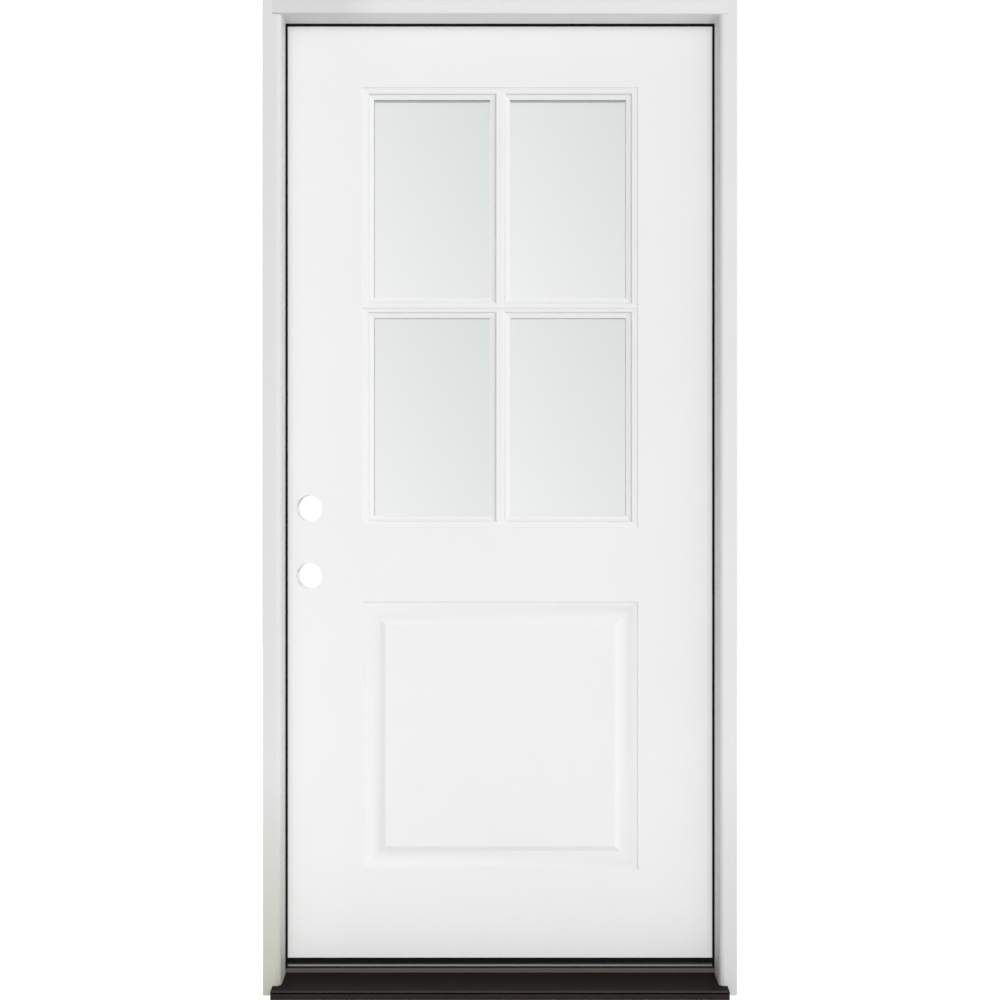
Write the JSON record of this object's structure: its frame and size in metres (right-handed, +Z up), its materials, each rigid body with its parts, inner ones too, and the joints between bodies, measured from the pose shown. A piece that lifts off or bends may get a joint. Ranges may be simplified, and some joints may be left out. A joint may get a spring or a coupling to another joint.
{
  "type": "prehung fiberglass front door",
  "caption": "Prehung white front door: moulded leaf with a divided half glass over a raised panel, lock bores, rabbeted jambs, butt hinges and a dark sloped sill.",
  "frame": {"origin": "on the outer face of the hinge jamb, halfway across its depth, level with the underside of the sill", "axes": "+X out of the hinge jamb into the wall beside it, +Y from outside to inside, the way the leaf swings, +Z up; the outside face of the door looks along -Y"},
  "size_m": [0.9561, 0.1573, 2.0144],
  "materials": {
    "jamb_paint": "factory white primer paint, satin, on wood jambs",
    "fiberglass_skin": "smooth white moulded fiberglass, satin",
    "lite_frame": "white moulded light frame, satin",
    "glass": "clear insulating glass with a faint green tint",
    "spacer_metal": "mill finish spacer",
    "stile_composite": "white composite stile and rail stock",
    "foam_core": "pale rigid foam core, closed in",
    "seal_rubber": "black soft seal",
    "sill_bronze": "dark bronze anodised extrusion, satin",
    "sill_composite": "brown composite base",
    "sill_cap": "dark bronze composite cap",
    "hinge_steel": "satin nickel plated steel"
  },
  "bodies": {
    "frame": {"head_jamb": "jamb_paint", "hinge_jamb": "jamb_paint", "hinge_jamb_leaf_bottom": "hinge_steel", "hinge_jamb_leaf_middle": "hinge_steel", "hinge_jamb_leaf_top": "hinge_steel", "hinge_pin_bottom": "hinge_steel", "hinge_pin_middle": "hinge_steel", "hinge_pin_top": "hinge_steel", "seal_head": "seal_rubber", "seal_hinge": "seal_rubber", "seal_strike": "seal_rubber", "sill_base": "sill_composite", "sill_cap": "sill_cap", "sill_tread": "sill_bronze", "strike_jamb": "jamb_paint"},
    "leaf": {"core_hinge_side": "foam_core", "core_lock_rail": "foam_core", "core_lock_side": "foam_core", "core_lower": "foam_core", "core_top": "foam_core", "door_sweep": "seal_rubber", "glass_inside": "glass", "glass_outside": "glass", "glass_spacer": "spacer_metal", "hinge_door_leaf_bottom": "hinge_steel", "hinge_door_leaf_middle": "hinge_steel", "hinge_door_leaf_top": "hinge_steel", "lite_frame_inside": "lite_frame", "lite_frame_outside": "lite_frame", "lock_block": "stile_composite", "muntin_inside": "lite_frame", "muntin_outside": "lite_frame", "rail_bottom": "stile_composite", "rail_top": "stile_composite", "skin_inside": "fiberglass_skin", "skin_outside": "fiberglass_skin", "stile_hinge": "stile_composite", "stile_lock": "stile_composite"}
  },
  "joints": [
    {"name": "leaf_swing", "type": "hinge", "parent": "frame", "child": "leaf", "pos_m": [-0.02155, 0.06595, 1], "axis": [0, 0, -1], "range_deg": [0, 170]}
  ]
}
